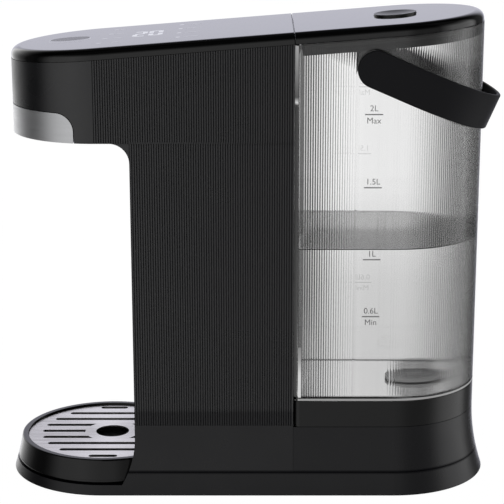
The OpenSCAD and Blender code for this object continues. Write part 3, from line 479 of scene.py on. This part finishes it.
# ---------------------------------------------------------------------------------------------
# Clear tank
# One injection of clear copolyester, 2.5 mm thick, fluted outside but for its corners and the two
# window strips; the litre marks are pad-printed on the strips. It stands in a black base.
# ---------------------------------------------------------------------------------------------
FLUTE = 1.5 * MM
FLUTE_DEPTH = 0.13 * MM
WALL = 2.5 * MM
CORNER = 4 * MM
window_x, window_w = 77.2 * MM, 22.2 * MM
tank_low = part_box("tank_shell")[0]
tank_x0, tank_z0 = tank_low.x, tank_low.z
tank_floor = tank_z0 + 2.2 * MM
valve_x = 106 * MM
spigot_hole = 12.3 * MM
RIB = np.array([0, 0.07, 0.15, 0.24, 0.36, 0.64, 0.76, 0.85, 0.93])


def rib_depth(t):
    """Depth of the groove at share t of a pitch: a rounded valley at each end, flat between."""
    near = np.minimum(t, 1 - t) / 0.34
    s = np.clip(near, 0, 1)
    return FLUTE_DEPTH * (1 - s * s * (3 - 2 * s))


def ribbed(length):
    """Places along a ribbed stretch, as shares of it, with the groove depth at each."""
    count = max(1, round(length / FLUTE))
    t = (np.arange(count)[:, None] + RIB[None, :]).ravel()
    return t / count, rib_depth(t % 1)


def tank_columns():
    """Outline of the tank from its front-left corner round the rear: points, normals, grooves.

    Straight near side, half circle round the rear, straight far side, corner, front, corner.
    """
    place, normal, groove = [], [], []

    def straight(xa, xb, side, with_ribs, deep=1.0):
        share, depth = ribbed(abs(xb - xa)) if with_ribs else (np.linspace(0, 1, 9)[:-1], np.zeros(8))
        place.append(np.stack([xa + (xb - xa) * share, np.full(len(share), side * body_r)], -1))
        normal.append(np.tile([0.0, side], (len(share), 1)))
        groove.append(deep * depth)

    def arc(cx, cy, r, a0, a1, with_ribs, n=10):
        length = abs(a1 - a0) * r
        share, depth = ribbed(length) if with_ribs else (np.linspace(0, 1, n)[:-1], np.zeros(n - 1))
        a = a0 + (a1 - a0) * share
        way = np.stack([np.cos(a), np.sin(a)], -1)
        place.append(np.array([cx, cy]) + r * way)
        normal.append(way)
        groove.append(0.5 * depth)

    xa, w0, w1 = tank_x0 + CORNER, window_x - window_w / 2, window_x + window_w / 2
    x_ribs = xa + 1.5 * MM
    half = math.pi / 2
    straight(xa, x_ribs, -1, False)
    straight(x_ribs, w0, -1, True, 0.9)
    straight(w0, w1, -1, False)
    straight(w1, end_x, -1, True)
    arc(end_x, 0, body_r, -half, half, True)
    straight(end_x, w1, 1, True)
    straight(w1, w0, 1, False)
    straight(w0, x_ribs, 1, True, 0.9)
    straight(x_ribs, xa, 1, False)
    arc(xa, body_r - CORNER, CORNER, half, 2 * half, False)
    share = np.linspace(0, 1, 25)[:-1]
    y = (body_r - CORNER) * (1 - 2 * share)
    place.append(np.stack([np.full(24, tank_x0), y], -1))
    normal.append(np.tile([-1.0, 0.0], (24, 1)))
    groove.append(np.zeros(24))
    arc(xa, CORNER - body_r, CORNER, 2 * half, 3 * half, False)
    return np.concatenate(place), np.concatenate(normal), np.concatenate(groove)


outline, outward, groove = tank_columns()


def outline_at(inset, z, ribs=0.0, under_seam=None):
    """The outline moved inwards by inset, at height z or that far under the sloping seam."""
    p = outline - outward * (inset + ribs * groove)[:, None]
    height = np.full(len(p), z) if under_seam is None else \
        seam_z + p[:, 0] * math.tan(SLOPE) - under_seam
    return np.concatenate([p, height[:, None]], 1)


def toward(centre, radius, z):
    """For each column, the point of a circle round centre in that column's direction."""
    way = outline - np.array(centre)
    way /= np.linalg.norm(way, axis=1)[:, None]
    return np.concatenate([np.array(centre) + radius * way, np.full((len(way), 1), z)], 1)


def inside_rows(lap, low_first):
    """Rows of the inner floor and the rounding up to the wall, lapped outwards by lap."""
    rounding = 1.2 * MM
    centre = (valve_x, 0)
    floor_z, inset = tank_floor + lap, WALL - lap
    rows = [toward(centre, spigot_hole, floor_z), toward(centre, spigot_hole + 0.5 * MM, floor_z),
            outline_at(inset + rounding + 0.5 * MM, floor_z)]
    for a in np.radians([90, 75, 60, 45, 30, 15, 0]):
        rows.append(outline_at(inset + rounding * (1 - math.cos(a)), floor_z + rounding * (1 - math.sin(a))))
    rows.append(outline_at(inset, floor_z + rounding + 0.5 * MM))
    return rows if low_first else rows[::-1]


def tank_rows():
    """Closed section of the tank: under the floor, up the ribs, over the rim, down inside."""
    centre, edge, under_z = (valve_x, 0), 0.6 * MM, tank_z0 + 0.08 * MM
    rows = [toward(centre, spigot_hole, under_z), toward(centre, spigot_hole + 0.5 * MM, under_z),
            outline_at(edge + 1.0 * MM, under_z)]
    for a in np.radians([0, 22, 45, 68, 90]):
        rows.append(outline_at(edge * (1 - math.sin(a)), under_z + edge * (1 - math.cos(a)),
                               math.sin(a)))
    rows.append(outline_at(0, tank_z0 + 1.4 * MM, 1))
    rows += [outline_at(0, z * MM, 1) for z in (120, 180, 240)]
    rows += [outline_at(inset * MM, 0, 1, under * MM) for inset, under in
             ((0, 1.0), (0, 0.4), (0.12, 0.12), (0.4, 0))]
    rows += [outline_at(WALL - inset * MM, 0, 0, under * MM) for inset, under in
             ((0.4, 0), (0, 0.4), (0, 1.0))]
    rows += [outline_at(WALL, z * MM) for z in (240, 180, 120)]
    return np.stack(rows + inside_rows(0, False))


def clear_plastic(name, colour, ior, roughness=0.0):
    """Clear solid that bends light by its index."""
    return finish_of(name, colour, roughness, transmission=1.0, ior=ior)[0]


def paint_slant_shade(material, stops):
    """Painted shade in the colour of a clear solid, by how far it turns from the ray: darker at a slant,
    pale edge-on.
    """
    tree = material.node_tree
    facing = node(tree, "ShaderNodeLayerWeight", {"Blend": 0.5}).outputs["Facing"]
    tree.links.new(steps(tree, facing, 0, 1, stops), tree.nodes["Principled BSDF"].inputs["Base Color"])


clear_tank = clear_plastic("clear_tank", (0.985, 0.985, 0.985), 1.5)
# Painted shade: the tank's colour darkens with the slant of the ray, most at about half turned, and pales
# again towards edge-on.
paint_slant_shade(clear_tank, (
    (0, 0.985), (0.045, 0.985), (0.07, 0.95), (0.155, 0.87), (0.21, 0.82), (0.29, 0.67), (0.38, 0.52),
    (0.52, 0.38), (0.62, 0.9), (1, 0.985)))
shell = tank_rows()
piece("clear_tank_shell", shell, quads(shell.shape[0], shell.shape[1], True, True), "tank", clear_tank,
      ("tank_shell",))


def edge_glow(name, stops):
    """Painted light on an edge of clear plastic: stops is one level, or levels that change with the height.
    """
    material, tree, shader = finish_of(name, (0.1, 0.1, 0.1), 0.3)
    shader.inputs["Emission Color"].default_value = (1, 1, 1, 1)
    if isinstance(stops, float):
        shader.inputs["Emission Strength"].default_value = stops
        return material
    split = node(tree, "ShaderNodeSeparateXYZ")
    tree.links.new(node(tree, "ShaderNodeTexCoord").outputs["Object"], split.inputs[0])
    tree.links.new(steps(tree, split.outputs["Z"], 0, 0.4, stops), shader.inputs["Emission Strength"])
    return material


# Thin glowing bands are painted light: they stand in for the light that the edges of its floor and front
# wall gather, with a painted glint low on the front corners and a painted highlight spot high on the wall
# edge.
above_foot = tank_z0 + 2.6 * MM
at_corner = np.abs(outward[:, 1]) > 0.15
from_front = outline[:, 0] - tank_x0
for edge_name, low_z, high_z, is_edge, stops in (
        ("tank_floor_edge", tank_z0 + 0.5 * MM, tank_z0 + 1.8 * MM, outward[:, 0] > -0.5, 0.27),
        ("tank_foot_glint", above_foot, 98 * MM,
         at_corner & (from_front > 2.6 * MM) & (from_front < 4.7 * MM),
         ((0, 0.6), (0.08, 0.6), (0.09, 0.28), (0.098, 0.2), (0.4, 0.2))),
        ("tank_wall_edge", above_foot, 287.6 * MM, at_corner & (from_front < 2.5 * MM),
         ((0, 0.05), (0.25, 0.04), (0.252, 0.04), (0.2527, 0.6), (0.2543, 0.6), (0.255, 0.07),
          (0.263, 0.12), (0.288, 0.33), (0.4, 0.33)))):
    edge_rows = np.stack([outline_at(-0.03 * MM, z, 0) for z in (low_z, high_z)])
    edge_faces = [face for face in quads(2, len(outline), False, True)
                  if all(is_edge[i % len(outline)] for i in face)]
    piece(edge_name, edge_rows, edge_faces, "tank", edge_glow(edge_name, stops))

# Water up to just over the one litre mark, with a meniscus where it climbs the wall.
water_z = 160.4 * MM


def water_rows():
    """From the middle of the floor out, up the wall, over the meniscus and in to the middle."""
    centre, lap, climb = (valve_x, 0), 0.05 * MM, 1.3 * MM
    rows = [toward(centre, 0.01 * MM, tank_floor - lap)] + inside_rows(lap, True)
    rows += [outline_at(WALL - lap, z) for z in (90 * MM, 120 * MM, 150 * MM, water_z + climb - 1 * MM,
                                                 water_z + climb - 0.4 * MM)]
    for away in (0, 0.15, 0.4, 0.8, 1.4):
        rows.append(outline_at(WALL - lap + away * MM, water_z + climb * math.exp(-away / 1.1)))
    rim, middle = rows[-1], np.array((*centre, water_z))
    for share, rise in ((0.975, 0.09), (0.95, 0.029), (0.92, 0.007), (0.9, 0), (0.87, 0), (0.4, 0),
                        (0.001, 0)):
        row = middle + share * (rim - middle)
        row[:, 2] = water_z + climb * rise
        rows.append(row)
    return np.stack(rows)


water_clear = clear_plastic("water_clear", (0.985, 0.988, 0.99), 1.333)
# Painted shade: the water's colour darkens with the slant of the ray, and pales again towards edge-on.
paint_slant_shade(water_clear, (
    (0, 0.985), (0.03, 0.975), (0.06, 0.82), (0.085, 0.7), (0.11, 0.52), (0.155, 0.44), (0.2, 0.42),
    (0.52, 0.45), (0.62, 0.9), (1, 0.985)))
body_of_water = water_rows()
piece("water", body_of_water, quads(body_of_water.shape[0], body_of_water.shape[1], False, True), "tank",
      water_clear)


def thin_layer(name, colour, roughness, cover):
    """A layer that lets light past: cover is the share that it stops."""
    material, _, shader = finish_of(name, colour, roughness)
    shader.inputs["Alpha"].default_value = cover
    return material


mark_grey = thin_layer("mark_grey", (0.13, 0.13, 0.135), 0.6, 0.85)
mark_pale = thin_layer("mark_pale", (0.13, 0.13, 0.135), 0.6, 0.22)


def printed_words(text, size, x, z, side):
    """Text as a flat mesh on a window strip: side -1 is the near wall, 1 the far one."""
    curve = bpy.data.curves.new("words", "FONT")
    curve.body = text
    curve.align_x = "CENTER"
    curve.align_y = "CENTER"
    holder = bpy.data.objects.new("words", curve)
    bpy.context.scene.collection.objects.link(holder)
    bpy.context.view_layer.update()
    mesh = bpy.data.meshes.new_from_object(holder.evaluated_get(bpy.context.evaluated_depsgraph_get()))
    bpy.data.objects.remove(holder)
    turn = Matrix.Rotation(math.pi / 2, 4, "X")
    if side > 0:
        turn = Matrix.Rotation(math.pi, 4, "Z") @ turn
    mesh.transform(Matrix.Translation((x, side * (body_r + print_lift), z)) @ turn
                   @ Matrix.Scale(size, 4))
    points = [tuple(v.co) for v in mesh.vertices]
    faces = [list(p.vertices) for p in mesh.polygons]
    bpy.data.meshes.remove(mesh)
    return points, faces


def litre_marks(side):
    """The level lines with their figures, all in one piece per wall."""
    points, faces = [], []

    def add(more_points, more_faces):
        faces.extend([[i + len(points) for i in f] for f in more_faces])
        points.extend(more_points)

    half_l, half_t, letter_h = 5.5 * MM, 0.36 * MM, 5.2 * MM
    y = side * (body_r + print_lift)
    for z, above, below in ((246.1, "2L", "Max"), (200.8, "1.5L", ""), (155.2, "1L", ""),
                            (118.4, "0.6L", "Min")):
        line = [(window_x + side * -s * half_l, y, z * MM + t * half_t)
                for s, t in ((-1, -1), (1, -1), (1, 1), (-1, 1))]
        add(line, [[0, 1, 2, 3]])
        add(*printed_words(above, letter_h, window_x, (z + 3.6) * MM, side))
        if below:
            add(*printed_words(below, letter_h, window_x, (z - 3.9) * MM, side))
    name = "litre_marks_near" if side < 0 else "litre_marks_far"
    return piece(name, points, faces, "tank", mark_grey if side < 0 else mark_pale,
                 smooth=False)


litre_marks(-1)
litre_marks(1)

# Black base of the tank, valve and strainer: semi-gloss ABS and dark PP, with silicone seals.
base_black = polished_plastic("base_black", (0.007, 0.007, 0.0074), 0.25)
dress(base_black, "tank_base")
valve_black = grained_plastic("valve_black", (0.01, 0.01, 0.0105), 0.4)
dress(valve_black, "dock_socket")
valve_grey_painted_glow = grained_plastic("valve_grey_painted_glow", (0.42, 0.42, 0.43), 0.5)
# Painted light: the grey valve glows a little by itself.
valve_shader = valve_grey_painted_glow.node_tree.nodes["Principled BSDF"]
valve_shader.inputs["Emission Color"].default_value = (1, 1, 1, 1)
valve_shader.inputs["Emission Strength"].default_value = 0.13
dress(valve_grey_painted_glow, "valve_body", "valve_nut")
dress(thin_layer("strainer_mesh", (0.4, 0.4, 0.41), 0.5, 0.25), "tank_strainer")
silicone_grey = grained_plastic("silicone_grey", (0.06, 0.06, 0.062), 0.6)
dress(silicone_grey, "dock_seal", "valve_gasket", "lid_gasket")
white_plastic = grained_plastic("white_plastic", (0.62, 0.61, 0.58), 0.45)
dress(white_plastic, "valve_poppet", "outlet_chamber", "heater_caps", "thermostats",
      "pump_volute", "pump_impeller")

# ---------------------------------------------------------------------------------------------
# Lid, liner and button
# The lid continues the glossy top over the tank. A dark grey liner with a soft gasket plugs into
# the tank's mouth, and the round button in the middle frees it.
# ---------------------------------------------------------------------------------------------
dress(piano_black, "tank_lid")
dress(polished_plastic("button_black", (0.002, 0.002, 0.0022), 0.3, ior=1.6), "lid_button")
liner_grey = grained_plastic("liner_grey", (0.028, 0.028, 0.03), 0.4)
dress(liner_grey, "lid_liner", "button_housing")
silicone_clear = grained_plastic("silicone_clear", (0.6, 0.6, 0.6), 0.5)
dress(silicone_clear, "hot_tube", "pump_tube", "inlet_tube")

# ---------------------------------------------------------------------------------------------
# Handle
# A flat strap of black PP, bowed round the tank's rear, which swings on two steel pins.
# ---------------------------------------------------------------------------------------------
strap_black = grained_plastic("strap_black", (0.034, 0.034, 0.037), 0.45, 0.00002)
strap_black.node_tree.nodes["Principled BSDF"].inputs["Specular IOR Level"].default_value = 0.07
dress(strap_black, "handle")

# ---------------------------------------------------------------------------------------------
# Inside the column
# Heater, pump and boards on a zinc plated frame; hidden unless the covers come off.
# ---------------------------------------------------------------------------------------------
stainless = drawn_metal("stainless", (0.6, 0.6, 0.62), 0.28, (1, 1, 0.05))
dress(stainless, "heater_body", "pump_motor")
board_green = polished_plastic("board_green", (0.02, 0.12, 0.045), 0.35)
dress(board_green, "control_board", "power_board")
part_blue = polished_plastic("part_blue", (0.03, 0.04, 0.12), 0.3)
dress(part_blue, "board_components")
dress(liner_grey, "display_module")
copper = drawn_metal("copper", (0.75, 0.42, 0.25), 0.3)
dress(copper, "touch_sensor")
